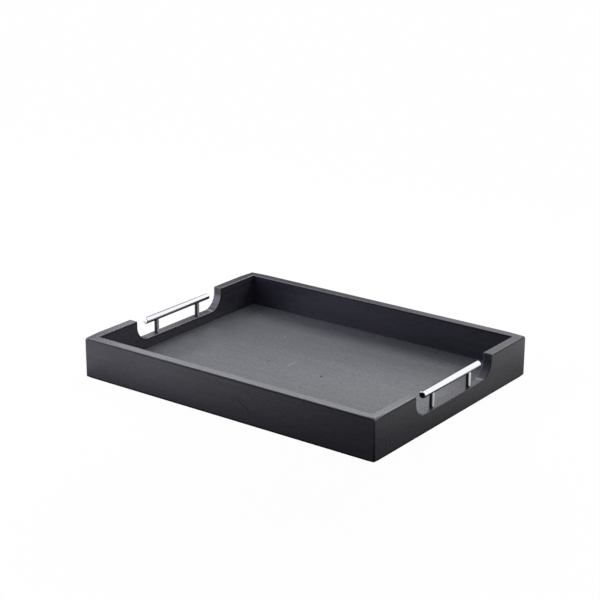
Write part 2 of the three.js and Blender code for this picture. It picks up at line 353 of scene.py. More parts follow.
    def shader(self, tree: NodeTree) -> Node:
        """Adds the stain, its edge wear with painted highlights and painted shade lines, and the lacquer.

        Args:
            tree: The material's tree.

        Returns:
            The lacquered wood's shader.
        """
        # Edge tone from the mesh: the pale arris is partly rubbed wear and partly painted highlight; the
        # dark line beside it is painted shade, with less gloss.
        edge_detail = add_node(tree, "ShaderNodeAttribute", attribute_name=EDGE_WEAR_AND_LIGHT).outputs["Fac"]
        rub_and_highlight = add_node(tree, "ShaderNodeMapRange", {
            "Value": edge_detail, "From Max": 1.0, "To Max": self.rub_and_highlight_share})
        shade_line = add_node(tree, "ShaderNodeMapRange", {
            "Value": edge_detail, "From Max": -1.0, "To Max": self.shade_line_share})
        gloss = add_node(tree, "ShaderNodeMapRange", {
            "Value": edge_detail, "From Max": -1.0, "To Min": self.gloss, "To Max": self.shade_line_gloss})
        colour, lacquer = self.marked(tree, self.grained(tree), gloss)
        for share, edge_tone in ((rub_and_highlight, Colour.STAIN_RUBBED), (shade_line, self.dark)):
            colour = add_node(tree, "ShaderNodeMix", {
                "Factor": share, "A": colour, "B": linear(edge_tone)}, data_type="RGBA")
        fibres = self.along_grain(tree, self.fibres)
        roughness = add_node(tree, "ShaderNodeMapRange", {
            "Value": fibres, "From Min": 0.3, "From Max": 0.7,
            "To Min": self.roughness - self.roughness_spread,
            "To Max": self.roughness + self.roughness_spread})
        grain_relief = add_node(tree, "ShaderNodeBump", {
            "Height": fibres, "Strength": 1.0, "Distance": self.fibre_relief})
        surface = add_node(tree, "ShaderNodeBump", {
            "Height": self.along_grain(tree, self.peel), "Strength": 1.0, "Distance": self.peel_relief,
            "Normal": grain_relief})
        return add_node(tree, "ShaderNodeBsdfPrincipled", {
            "Base Color": colour, "Roughness": roughness, "Normal": surface, "IOR": self.ior,
            "Specular IOR Level": lacquer})


@dataclass(frozen=True)
class PolishedChrome(Finish):
    """Bright chrome plate on buffed steel: a mirror with faint buffing haze, and a painted dark reflection
    on one side.

    The side that faces a given way is painted darker: a painted reflection of the dark things that lie that
    way.
    """

    painted_dark_side: Vector
    painted_dark_start: float
    painted_dark_end: float
    smoothest: float = 0.015
    haziest: float = 0.05
    haze: float = 6 * MM

    def shader(self, tree: NodeTree) -> Node:
        """Adds the plate, its haze and its side of painted dark reflection.

        Args:
            tree: The material's tree.

        Returns:
            The chrome's shader.
        """
        place = add_node(tree, "ShaderNodeTexCoord").outputs["Object"]
        haze = add_node(tree, "ShaderNodeTexNoise", {"Vector": place, "Scale": 1 / self.haze, "Detail": 3.0})
        roughness = add_node(tree, "ShaderNodeMapRange", {
            "Value": haze, "From Min": 0.3, "From Max": 0.7,
            "To Min": self.smoothest, "To Max": self.haziest})
        # Painted reflection: the plate turns darker on the side that faces the given way, standing for the
        # dark things it mirrors there.
        out = add_node(tree, "ShaderNodeNewGeometry").outputs["Normal"]
        facing = add_node(tree, "ShaderNodeVectorMath", {0: out, 1: self.painted_dark_side}, operation="DOT_PRODUCT")
        painted_dark = add_node(tree, "ShaderNodeMapRange", {
            "Value": facing, "From Min": self.painted_dark_start, "From Max": self.painted_dark_end})
        plate = add_node(tree, "ShaderNodeMix", {
            "Factor": painted_dark, "A": linear(Colour.CHROME), "B": linear(Colour.CHROME_DULL)}, data_type="RGBA")
        return add_node(tree, "ShaderNodeBsdfPrincipled", {
            "Base Color": plate, "Metallic": 1.0, "Roughness": roughness})


@dataclass(frozen=True)
class ZincPlate(Finish):
    """Zinc-plated steel: pale grey, with the soft mottling of a barrel-plated fastener."""

    name: str = "zinc_plated_steel"
    mottle: float = 1.2 * MM
    brightest: float = 0.24
    dullest: float = 0.42

    def shader(self, tree: NodeTree) -> Node:
        """Adds the mottled plate.

        Args:
            tree: The material's tree.

        Returns:
            The plate's shader.
        """
        place = add_node(tree, "ShaderNodeTexCoord").outputs["Object"]
        mottle = add_node(tree, "ShaderNodeTexNoise", {
            "Vector": place, "Scale": 1 / self.mottle, "Detail": 4.0})
        colour = add_node(tree, "ShaderNodeMix", {
            "Factor": mottle, "A": linear(Colour.ZINC), "B": linear(Colour.ZINC_DULL)}, data_type="RGBA")
        roughness = add_node(tree, "ShaderNodeMapRange", {
            "Value": mottle, "To Min": self.brightest, "To Max": self.dullest})
        return add_node(tree, "ShaderNodeBsdfPrincipled", {
            "Base Color": colour, "Metallic": 1.0, "Roughness": roughness})


@dataclass(frozen=True)
class BareBeech(Finish):
    """Planed beech with its short brown rays, left bare where the glue goes."""

    name: str = "planed_beech"
    ray_length: float = 2.5 * MM
    ray_width: float = 0.5 * MM
    roughness: float = 0.7

    def shader(self, tree: NodeTree) -> Node:
        """Adds the wood and its rays.

        Args:
            tree: The material's tree.

        Returns:
            The beech's shader.
        """
        place = add_node(tree, "ShaderNodeTexCoord").outputs["Object"]
        cells = add_node(tree, "ShaderNodeMapping", {
            "Vector": place, "Scale": (1 / self.ray_width, 1 / self.ray_width, 1 / self.ray_length)})
        rays = add_node(tree, "ShaderNodeTexNoise", {"Vector": cells, "Scale": 1.0})
        tone = add_node(tree, "ShaderNodeMapRange", {"Value": rays, "From Min": 0.5, "From Max": 0.7})
        colour = add_node(tree, "ShaderNodeMix", {
            "Factor": tone, "A": linear(Colour.BEECH), "B": linear(Colour.BEECH_RAY)}, data_type="RGBA")
        return add_node(tree, "ShaderNodeBsdfPrincipled", {
            "Base Color": colour, "Roughness": self.roughness})


@dataclass(frozen=True)
class StudioPaper(Finish):
    """White background paper: white to the camera, with the object's own soft shadow left on it."""

    name: str = "white_background_paper"
    lift: float = 0.985
    mirror_lift: float = 0.92

    def shader(self, tree: NodeTree) -> Node:
        """Adds the matt paper and its white.

        Args:
            tree: The material's tree.

        Returns:
            The paper's shader.
        """
        path = add_node(tree, "ShaderNodeLightPath").outputs
        seen = add_node(tree, "ShaderNodeMath", {
            0: path["Is Camera Ray"], 1: path["Is Transmission Ray"]}, operation="MAXIMUM")
        shown = add_node(tree, "ShaderNodeMath", {0: seen, 1: self.lift}, operation="MULTIPLY")
        mirrored = add_node(tree, "ShaderNodeMath", {
            0: path["Is Glossy Ray"], 1: self.mirror_lift}, operation="MULTIPLY")
        lift = add_node(tree, "ShaderNodeMath", {0: shown, 1: mirrored}, operation="MAXIMUM")
        paper = add_node(tree, "ShaderNodeBsdfDiffuse", {"Color": linear(Colour.PAPER)})
        white = add_node(tree, "ShaderNodeEmission", {"Strength": 1.0})
        return add_node(tree, "ShaderNodeMixShader", {0: lift, 1: paper, 2: white})


@dataclass(frozen=True)
class PaintedShadowFlag(Finish):
    """A painted shadow of the tray on the paper: a dark sheet with soft edges, before the tray's near corner
    and close around the tray.

    It is seen only in reflections, where it gives the rails' sides their fall in tone.
    """

    name: str = "black_felt_flag"
    centre: tuple[float, float] = (0.24, -0.33)
    clear_radius: float = 0.43
    contact_reach: float = 160 * MM
    contact_depth: float = 0.69
    left_fade: float = 6.0
    front_fade: float = 2.0

    def shader(self, tree: NodeTree) -> Node:
        """Adds the painted shadow and its soft edges.

        Args:
            tree: The material's tree.

        Returns:
            The painted shadow's shader, clear past its edges.
        """
        low, high = CAD_BOX
        place = add_node(tree, "ShaderNodeTexCoord").outputs["Object"]
        flat = add_node(tree, "ShaderNodeVectorMath", {0: place, 1: (1, 1, 0)}, operation="MULTIPLY")
        reach = add_node(tree, "ShaderNodeVectorMath", {0: flat, 1: (*self.centre, 0)}, operation="DISTANCE")
        clear = add_node(tree, "ShaderNodeMapRange", {"Value": reach, "From Max": self.clear_radius})
        beyond = add_node(tree, "ShaderNodeVectorMath", {
            0: flat, 1: (high.x, high.y, 0)}, operation="SUBTRACT")
        before = add_node(tree, "ShaderNodeVectorMath", {
            0: (low.x, low.y, 0), 1: flat}, operation="SUBTRACT")
        lit = add_node(tree, "ShaderNodeVectorMath", {
            0: before, 1: (self.left_fade, self.front_fade, 1)}, operation="MULTIPLY")
        past = add_node(tree, "ShaderNodeVectorMath", {0: beyond, 1: lit}, operation="MAXIMUM")
        sides = add_node(tree, "ShaderNodeSeparateXYZ", {"Vector": past}).outputs
        gap_to_tray = add_node(tree, "ShaderNodeMath", {0: sides["X"], 1: sides["Y"]}, operation="MAXIMUM")
        free = add_node(tree, "ShaderNodeMapRange", {
            "Value": gap_to_tray, "From Max": self.contact_reach, "To Min": 1 - self.contact_depth})
        shown = add_node(tree, "ShaderNodeMath", {0: clear, 1: free}, operation="MULTIPLY")
        # Painted shadow: near-black matt where the tray's shadow would fall on the paper.
        shadow_tone = add_node(tree, "ShaderNodeBsdfDiffuse", {"Color": linear(Colour.FELT)})
        gap = add_node(tree, "ShaderNodeBsdfTransparent")
        return add_node(tree, "ShaderNodeMixShader", {0: shown, 1: shadow_tone, 2: gap})


@dataclass(frozen=True)
class BounceCard(Finish):
    """A pale, faintly blue card that throws daylight back."""

    name: str = "pale_bounce_card"
    level: float = 3.8

    def shader(self, tree: NodeTree) -> Node:
        """Adds the card's glow."""
        return add_node(tree, "ShaderNodeEmission", {"Color": linear(Colour.CARD), "Strength": self.level})


# Making pieces


def new_object(name: str, mesh: Mesh) -> Object:
    """Puts a mesh in the scene as an object at the origin.

    Args:
        name: The object's name.
        mesh: Its mesh.

    Returns:
        The object.
    """
    item = bpy.data.objects.new(name, mesh)
    bpy.context.scene.collection.objects.link(item)
    return item


def plain_mesh(name: str, work: BMesh) -> Mesh:
    """Turns working geometry to a mesh.

    Args:
        name: The mesh's name.
        work: The geometry, which is freed.

    Returns:
        The mesh.
    """
    mesh = bpy.data.meshes.new(name)
    work.to_mesh(mesh)
    work.free()
    return mesh


def evaluated_mesh(item: Object) -> Mesh:
    """Does an object's modifiers and removes the object.

    Args:
        item: The object.

    Returns:
        What its modifiers made, as a plain mesh.
    """
    graph = bpy.context.evaluated_depsgraph_get()
    mesh = bpy.data.meshes.new_from_object(item.evaluated_get(graph))
    bpy.data.objects.remove(item)
    return mesh


def shade(mesh: Mesh) -> None:
    """Shades a mesh smoothly, but for the edges that turn sharply.

    Args:
        mesh: The mesh.
    """
    work = bmesh.new()
    work.from_mesh(mesh)
    for face in work.faces:
        face.smooth = True
    for edge in work.edges:
        edge.smooth = len(edge.link_faces) == 2 and edge.calc_face_angle() < SHARP_ANGLE
    work.to_mesh(mesh)
    work.free()


def settle(name: str, mesh: Mesh, material: Material | None, nodes: list[str]) -> None:
    """Dresses a finished piece, sets it on the tray's body and lets it stand for its CAD nodes.

    Args:
        name: The piece's name.
        mesh: Its mesh, in its place.
        material: Its material, or None where its mesh has it already.
        nodes: The CAD nodes that it stands for.
    """
    if material is not None:
        mesh.materials.clear()
        mesh.materials.append(material)
    piece = new_object(name, mesh)
    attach(piece, ROOT)
    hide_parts(*nodes)
    log.info("%s: %d faces, stands for %s", name, len(mesh.polygons), ", ".join(nodes))


@dataclass(frozen=True)
class RimPoint:
    """A point of a rail's outline, seen from outside: its place, the way out of the wood, its edges' wear
    and painted light.

    Where the outline turns round a lip, what lies deeper than the lip's radius meets in a corner.
    """

    x: float
    z: float
    out_x: float
    out_z: float
    outer: Edge = Edge.RUBBED
    inner: Edge = Edge.RUBBED
    lip: float = math.inf
    lip_side: int = 0

    def inset(self, depth: float, across: float) -> Vector:
        """Gives a place in the rail's section at this point.

        Args:
            depth: How far it lies below the outline.
            across: How far it lies from the outer face.

        Returns:
            The place.
        """
        deep = min(depth, self.lip)
        corner = depth - deep
        x = self.x - self.out_x * deep + self.lip_side * corner
        return Vector((x, across, self.z - self.out_z * deep - corner))


@dataclass
class RailFrame:
    """Four mitred rails. Each is made along X, its outer face at y = 0, then turned to its side."""

    long_finish: Material
    end_finish: Material
    arris: float = 1.2 * MM
    arris_steps: int = 5
    # Edge tone: the pale arris ramp is partly rubbed wear and partly painted highlight; the lines beside
    # arrises are painted shade and painted highlight.
    rub_light_start: float = -0.6
    rub_light_slope: float = 2.5
    dark_line: float = 0.7 * MM
    dark_band: float = 2.0 * MM
    pale_line: float = 0.5 * MM
    pale_band: float = 1.6 * MM
    corner_radius: float = 2.0 * MM
    corner_steps: int = 4
    tip_radius: float = 4.4 * MM
    foot_radius: float = 2.4 * MM
    tip_steps: int = 4
    glue_line: float = 0.06 * MM
    notch_side_room: float = 24 * MM
    notch_corner_radius: float = 23 * MM
    notch_steps: int = 28
    notch_lip_radius: float = 1.6 * MM
    lip_steps: int = 6
    post_seat: float = 0.1 * MM
    groove_play: float = 0.15 * MM
    recess_clearance: float = 0.3 * MM
    screw_radius: float = 1.95 * MM
    screw_clearance: float = 0.3 * MM
    hole_sides: int = 40
    tongue_length: float = 12 * MM
    tongue_thickness: float = 3 * MM
    slot_clearance: float = 0.3 * MM
    length: float = field(init=False)
    width: float = field(init=False)
    height: float = field(init=False)
    thickness: float = field(init=False)
    notch_half: float = field(init=False)
    notch_floor: float = field(init=False)

    def __post_init__(self) -> None:
        """Takes the rails' sizes from the frame."""
        low, high = CAD_BOX
        self.length, self.width, self.height = high - low
        rail_low, rail_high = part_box("front_rail")
        self.thickness = rail_high.y - rail_low.y
        bar_low, bar_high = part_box("left_handle_bar")
        self.notch_half = (bar_high.y - bar_low.y) / 2 + self.notch_side_room
        self.notch_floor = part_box("left_handle_front_post")[0].z - self.post_seat

    def notch(self) -> list[RimPoint]:
        """Gives the outline from the rim down the notch's right side, along its floor and up its left.

        Returns:
            The outline's points: two lips, and two corners with the floor between them.
        """
        points = []
        lip = self.notch_lip_radius
        corner = self.notch_corner_radius
        turns = (
            (self.notch_half + lip, self.height - lip, lip, 90, 180, self.lip_steps),
            (self.notch_half - corner, self.notch_floor + corner, corner, 0, -90, self.notch_steps),
            (corner - self.notch_half, self.notch_floor + corner, corner, -90, -180, self.notch_steps),
            (-self.notch_half - lip, self.height - lip, lip, 0, 90, self.lip_steps),
        )
        for x, z, radius, start, stop, steps in turns:
            lipped = stop > start
            side = 1 if lipped else -1
            # The notch's rounded corners get a darker arris and band: painted shade.
            edge_detail = {"lip": lip, "lip_side": 1 if x > 0 else -1} if lipped else {"outer": Edge.SOFT}
            for step in range(steps + 1):
                angle = math.radians(start + (stop - start) * step / steps)
                across, up = math.cos(angle), math.sin(angle)
                place = (x + radius * across, z + radius * up)
                points.append(RimPoint(*place, side * across, side * up, **edge_detail))
        return points

    def outline(self, length: float, notched: bool) -> list[RimPoint]:
        """Gives a rail's outline, seen from outside and running past both mitres.

        Args:
            length: The rail's outer length.
            notched: Whether the rail has a handle notch.

        Returns:
            The outline's points, anticlockwise.
        """
        end = length / 2 + self.thickness
        return [
            # The bottom arrises are dark: painted shade.
            RimPoint(-end, 0, -1, -1, Edge.DARK, Edge.DARK),
            RimPoint(end, 0, 1, -1, Edge.DARK, Edge.DARK),
            RimPoint(end, self.height, 1, 1),
            *(self.notch() if notched else []),
            RimPoint(-end, self.height, -1, 1),
        ]

    def half_section(self, edge: Edge) -> list[tuple[float, float, float]]:
        """Gives the places from one face of a rail over its rounded arris.

        Args:
            edge: How the edge is worn.

        Returns:
            Each place's depth below the outline, its distance from the face, and its edge tone: pale is
            partly rubbed wear and partly painted highlight, dark is painted shade.
        """
        arris, line, band = edge.value
        half = [(self.arris + self.dark_band, 0.0, 0.0), (self.arris + self.dark_line, 0.0, line)]
        for step in range(self.arris_steps + 1):
            share = step / self.arris_steps
            angle = math.pi / 2 * share
            edge_detail = min(arris, self.rub_light_slope * share + self.rub_light_start)
            half.append((self.arris * (1 - math.sin(angle)), self.arris * (1 - math.cos(angle)), edge_detail))
        return half + [(0.0, self.arris + self.pale_line, band), (0.0, self.arris + self.pale_band, 0.0)]

    def section(self, point: RimPoint) -> list[tuple[Vector, float]]:
        """Gives the places across the rail's thickness at one point of its outline, arrises rounded.

        Args:
            point: The outline's point.

        Returns:
            Each place with its edge tone: 1 where it is rubbed and painted as a highlight, -1 where a line
                of
            painted shade lies, 0 elsewhere.
        """
        outer = self.half_section(point.outer)
        far = reversed(self.half_section(point.inner))
        inner = [(depth, self.thickness - across, edge_detail) for depth, across, edge_detail in far]
        return [(point.inset(depth, across), edge_detail) for depth, across, edge_detail in outer + inner]

    def cut(self, work: BMesh, place: Vector, out: Vector) -> None:
        """Takes off what lies past a plane and closes the cut.

        Args:
            work: The mesh.
            place: A point of the plane.
            out: The way that is taken off.
        """
        everything = [*work.verts, *work.edges, *work.faces]
        made = bmesh.ops.bisect_plane(
            work, geom=everything, dist=CUT_REACH, plane_co=place, plane_no=out, clear_outer=True)
        edges = [item for item in made["geom_cut"] if isinstance(item, BMEdge)]
        if edges:
            bmesh.ops.contextual_create(work, geom=edges)

    def trim_end(self, work: BMesh, length: float, side: int) -> None:
        """Mitres one end and rounds its outer corner and tips by planes that touch the rounding.

        Args:
            work: The rail's mesh.
            length: The rail's outer length.
            side: 1 for the end at +X, -1 for the other.
        """
        mitre = Vector((side, 1, 0)).normalized()
        tip = Vector((side * length / 2, 0, 0)) - mitre * self.glue_line / 2
        self.cut(work, tip, mitre)
        centre = Vector((side * (length / 2 - self.corner_radius), self.corner_radius, 0))
        foot = (self.foot_radius, self.foot_radius, -1)
        rim = (self.tip_radius, self.height - self.tip_radius, 1)
        for step in range(self.corner_steps):
            angle = math.radians(-90 + 45 * (step + 0.5) / self.corner_steps)
            flat = Vector((side * math.cos(angle), math.sin(angle), 0))
            self.cut(work, centre + flat * self.corner_radius, flat)
            for radius, height, up in (foot, rim):
                ball = centre + flat * (self.corner_radius - radius) + Vector((0, 0, height))
                for tilt in range(1, self.tip_steps):
                    rise = math.pi / 2 * tilt / self.tip_steps
                    out = flat * math.cos(rise) + Vector((0, 0, up * math.sin(rise)))
                    self.cut(work, ball + out * radius, out)

    def blank(self, length: float, notched: bool) -> Mesh:
        """Makes a rail with rounded arrises and mitred ends, lying along X.

        Args:
            length: The rail's outer length.
            notched: Whether the rail has a handle notch.

        Returns:
            The mesh.
        """
        work = bmesh.new()
        # Each corner carries its edge tone: partly rubbed wear, partly painted highlight and painted shade.
        edge_detail = work.loops.layers.float.new(EDGE_WEAR_AND_LIGHT)
        rings = []
        edge_tone = {}
        for point in self.outline(length, notched):
            ring = []
            for place, value in self.section(point):
                ring.append(work.verts.new(place))
                edge_tone[ring[-1]] = value
            rings.append(ring)
        for ring, after in zip(rings, rings[1:] + rings[:1]):
            for corners in zip(ring, after, after[1:], ring[1:]):
                work.faces.new(corners)
        work.faces.new([ring[0] for ring in rings])
        work.faces.new([ring[-1] for ring in rings])
        for face in work.faces:
            for loop in face.loops:
                loop[edge_detail] = edge_tone[loop.vert]
        bmesh.ops.remove_doubles(work, verts=work.verts, dist=MERGE_REACH)
        for side in (-1, 1):
            self.trim_end(work, length, side)
        bmesh.ops.remove_doubles(work, verts=work.verts, dist=MERGE_REACH)
        bmesh.ops.recalc_face_normals(work, faces=work.faces)
        return plain_mesh("rail", work)

    def cutters(self, length: float, notched: bool) -> list[Object]:
        """Makes what is cut out of a rail: the panel's groove, the tongues' slots and the screw holes.

        Args:
            length: The rail's outer length.
            notched: Whether the rail carries a handle.

        Returns:
            The cutters, as objects that are removed after the cut.
        """
        panel_low, panel_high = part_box("floor_panel")
        depth = panel_high.x - (self.length / 2 - self.thickness) + self.groove_play
        tall = panel_high.z - panel_low.z + 2 * self.groove_play
        groove = Matrix.Translation((0, self.thickness, (panel_high.z + panel_low.z) / 2))
        blocks = [groove @ Matrix.Diagonal((length, 2 * depth, tall, 1))]
        tongue_low, tongue_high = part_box("front_right_tongue")
        tongue = (tongue_low + tongue_high) / 2
        inset = self.length / 2 - tongue.x
        room = 2 * self.slot_clearance
        slot = Matrix.Diagonal((
            self.tongue_length + room, self.tongue_thickness + room, tongue_high.z - tongue_low.z + room, 1))
        for side in (-1, 1):
            corner = Matrix.Translation((side * (length / 2 - inset), inset, tongue.z))
            blocks.append(corner @ Matrix.Rotation(side * math.pi / 4, 4, "Z") @ slot)
        shapes = []
        for block in blocks:
            shapes.append(bmesh.new())
            bmesh.ops.create_cube(shapes[-1], size=1, matrix=block)
        if notched:
            washer_low, washer_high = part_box("left_handle_front_washer")
            along = abs((washer_low.y + washer_high.y) / 2)
            recess = (washer_high.y - washer_low.y) / 2 + self.recess_clearance
            hole = self.screw_radius + self.screw_clearance
            for side in (-1, 1):
                middle = Matrix.Translation((side * along, self.thickness / 2, 0))
                for radius, top in ((recess, washer_high.z), (hole, self.height)):
                    shapes.append(bmesh.new())
                    bmesh.ops.create_cone(
                        shapes[-1], cap_ends=True, segments=self.hole_sides, radius1=radius, radius2=radius,
                        depth=2 * top, matrix=middle)
        return [new_object("cutter", plain_mesh("cutter", shape)) for shape in shapes]

    def rail(self, length: float, notched: bool) -> Mesh:
        """Makes a whole rail lying along X.

        Args:
            length: The rail's outer length.
            notched: Whether the rail has a handle notch.

        Returns:
            The mesh.
        """
        item = new_object("rail", self.blank(length, notched))
        tools = self.cutters(length, notched)
        for tool in tools:
            cut = item.modifiers.new("cut", "BOOLEAN")
            cut.operation = "DIFFERENCE"
            cut.solver = "EXACT"
            cut.object = tool
        mesh = evaluated_mesh(item)
        for tool in tools:
            bpy.data.objects.remove(tool)
        shade(mesh)
        level = new_object("rail", mesh)
        weighted = level.modifiers.new("weighted", "WEIGHTED_NORMAL")
        weighted.keep_sharp = True
        return evaluated_mesh(level)

    def build(self) -> None:
        """Makes the four rails and sets them on the tray."""
        sides = (
            ("front_rail", self.length, False, 0, (0, -self.width / 2)),
            ("right_end_rail", self.width, True, 90, (self.length / 2, 0)),
            ("back_rail", self.length, False, 180, (0, self.width / 2)),
            ("left_end_rail", self.width, True, -90, (-self.length / 2, 0)),
        )
        for node, length, notched, turn, (x, y) in sides:
            mesh = self.rail(length, notched)
            mesh.transform(Matrix.Translation((x, y, 0)) @ Matrix.Rotation(math.radians(turn), 4, "Z"))
            finish = self.end_finish if notched else self.long_finish
            settle(f"{node}_wood", mesh, finish, [node])


@dataclass
class FloorBoard:
    """The thin floor panel, its edges eased, let into the rails' groove."""

    finish: Material
    easing: float = 0.5 * MM

    def build(self) -> None:
        """Makes the panel and sets it on the tray."""
        low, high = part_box("floor_panel")
        place = Matrix.Translation((low + high) / 2) @ Matrix.Diagonal((*(high - low), 1))
        work = bmesh.new()
        bmesh.ops.create_cube(work, size=1, matrix=place)
        bmesh.ops.bevel(
            work, geom=list(work.edges), offset=self.easing, segments=2, profile=0.5, affect="EDGES")
        mesh = plain_mesh("floor_board", work)
        shade(mesh)
        settle("floor_board", mesh, self.finish, ["floor_panel"])


@dataclass
class HandleBars:
    """Two straight polished bars with chamfered ends, the chamfers' edges eased."""

    left_finish: Material
    right_finish: Material
    chamfer: float = 0.8 * MM
    easing: float = 0.096 * MM
    easing_drop: float = 0.4
    segments: int = 96

    def bar(self, node: str) -> Mesh:
        """Turns one bar about its own axis.

        Args:
            node: The CAD node that it stands for.

        Returns:
            The mesh, in its place.
        """
        low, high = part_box(node)
        radius = (high.z - low.z) / 2
        middle = (low + high) / 2
        half = (high.y - low.y) / 2
        inward = self.easing_drop * self.easing
        outward = self.easing - inward
        profile = (
            (radius - self.chamfer - self.easing, half),
            (radius - self.chamfer + outward, half - inward),
            (radius - inward, half - self.chamfer + outward),
            (radius, half - self.chamfer - self.easing),
        )
        stations = [(r, -y) for r, y in profile] + [(r, y) for r, y in reversed(profile)]
        work = bmesh.new()
        rings = []
        for r, y in stations:
            ring = []
            for step in range(self.segments):
                angle = 2 * math.pi * step / self.segments
                place = middle + Vector((r * math.cos(angle), y, r * math.sin(angle)))
                ring.append(work.verts.new(place))
            rings.append(ring)
        for ring, after in zip(rings, rings[1:]):
            for corners in zip(ring, ring[1:] + ring[:1], after[1:] + after[:1], after):
                work.faces.new(corners)
        work.faces.new(rings[0])
        work.faces.new(rings[-1])
        bmesh.ops.recalc_face_normals(work, faces=work.faces)
        mesh = plain_mesh(node, work)
        shade(mesh)
        return mesh

    def build(self) -> None:
        """Makes both bars and sets them on the tray."""
        for side, finish in (("left", self.left_finish), ("right", self.right_finish)):
            node = f"{side}_handle_bar"
            settle(f"{side}_bar_chrome", self.bar(node), finish, [node])


class NodePiece:
    """A piece that a Geometry Nodes tree makes at each of the four posts' places."""

    def __init__(self, name: str) -> None:
        """Starts the tree.

        Args:
            name: The tree's name.
        """
        self.tree = bpy.data.node_groups.new(name, "GeometryNodeTree")
        self.tree.interface.new_socket("Geometry", in_out="OUTPUT", socket_type="NodeSocketGeometry")
        self.values: dict[str, float] = {}
        self.source = add_node(self.tree, "NodeGroupInput")

    def size(self, name: str, value: float) -> NodeSocket:
        """Adds a named size to the tree's inputs.

        Args:
            name: The input's name.
            value: Its value here.

        Returns:
            The socket that gives the size inside the tree.
        """
        item = self.tree.interface.new_socket(name, in_out="INPUT", socket_type="NodeSocketFloat")
        self.values[item.identifier] = value
        return self.source.outputs[name]

    def sum_of(self, *terms: tuple[float, Link]) -> Node:
        """Adds sizes up inside the tree.

        Args:
            *terms: Factor and size.

        Returns:
            The node that gives the sum.
        """
        total: Any = 0.0
        for factor, size in terms:
            inputs = {0: size, 1: factor, 2: total}
            total = add_node(self.tree, "ShaderNodeMath", inputs, operation="MULTIPLY_ADD")
        return total

    def cylinder(self, radius: Link, bottom: Link, top: Link, sides: int, rings: int = 1) -> Node:
        """Adds an upright cylinder between two heights.

        Args:
            radius: The size that gives its radius.
            bottom: The size that gives its lower end.
            top: The size that gives its upper end.
            sides: How many sides it has.
            rings: How many rings of faces each end has.

        Returns:
            The cylinder's mesh.
        """
        body = add_node(self.tree, "GeometryNodeMeshCylinder", {
            "Vertices": sides, "Fill Segments": rings, "Radius": radius,
            "Depth": self.sum_of((1, top), (-1, bottom))})
        lift = add_node(self.tree, "ShaderNodeCombineXYZ", {"Z": self.sum_of((0.5, top), (0.5, bottom))})
        return add_node(self.tree, "GeometryNodeTransform", {"Geometry": body, "Translation": lift})

    def cut_from(self, body: Node, tool: Node) -> Node:
        """Cuts one mesh out of another and gives what is left."""
        return add_node(self.tree, "GeometryNodeMeshBoolean", {"Mesh 1": body, "Mesh 2": tool})

    def at_posts(self, shape: Node, material: Material) -> None:
        """Ends the tree: copies a shape to the four posts' places and dresses it.

        Args:
            shape: The mesh that is copied.
            material: The finish.
        """
        low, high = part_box("right_handle_back_post")
        spacing = low + high
        grid = add_node(self.tree, "GeometryNodeMeshGrid", {
            "Size X": self.size("Handle Spacing", spacing.x),
            "Size Y": self.size("Post Spacing", spacing.y), "Vertices X": 2, "Vertices Y": 2})
        copies = add_node(self.tree, "GeometryNodeInstanceOnPoints", {"Points": grid, "Instance": shape})
        real = add_node(self.tree, "GeometryNodeRealizeInstances", {"Geometry": copies})
        dressed = add_node(self.tree, "GeometryNodeSetMaterial", {"Geometry": real, "Material": material})
        add_node(self.tree, "NodeGroupOutput", {"Geometry": dressed})

    def mesh(self) -> Mesh:
        """Runs the tree.

        Returns:
            What it makes, as a plain mesh.
        """
        holder = new_object("holder", bpy.data.meshes.new("holder"))
        nodes = holder.modifiers.new("nodes", "NODES")
        nodes.node_group = self.tree
        for identifier, value in self.values.items():
            nodes[identifier] = value
        made = evaluated_mesh(holder)
        shade(made)
        return made


def fastened(part: str) -> list[str]:
    """Gives the four CAD nodes of a part that each post has."""
    return [f"{side}_handle_{end}_{part}" for side in ("left", "right") for end in ("front", "back")]


@dataclass
class HandlePosts:
    """Four slim posts, hollowed at the top to fit the bar."""

    finish: Material
    saddle_gap: float = 0.02 * MM
    saddle_reach: float = 28 * MM
    sides: int = 64

    def build(self) -> None:
        """Makes the posts and sets them on the tray."""
        low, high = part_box("right_handle_back_post")
        bar_low, bar_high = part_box("right_handle_bar")
        piece = NodePiece("coped_posts")
        radius = piece.size("Post Radius", (high.x - low.x) / 2)
        foot = piece.size("Foot Height", low.z)
        axis = piece.size("Bar Height", (bar_low.z + bar_high.z) / 2)
        hollow = piece.size("Saddle Radius", (bar_high.z - bar_low.z) / 2 + self.saddle_gap)
        reach = piece.size("Saddle Length", self.saddle_reach)
        body = piece.cylinder(radius, foot, axis, self.sides)
        saddle = add_node(piece.tree, "GeometryNodeMeshCylinder", {
            "Vertices": 2 * self.sides, "Radius": hollow, "Depth": reach})
        lift = add_node(piece.tree, "ShaderNodeCombineXYZ", {"Z": axis})
        laid = add_node(piece.tree, "GeometryNodeTransform", {
            "Geometry": saddle, "Translation": lift, "Rotation": (math.pi / 2, 0, 0)})
        piece.at_posts(piece.cut_from(body, laid), self.finish)
        settle("handle_posts_chrome", piece.mesh(), None, fastened("post"))


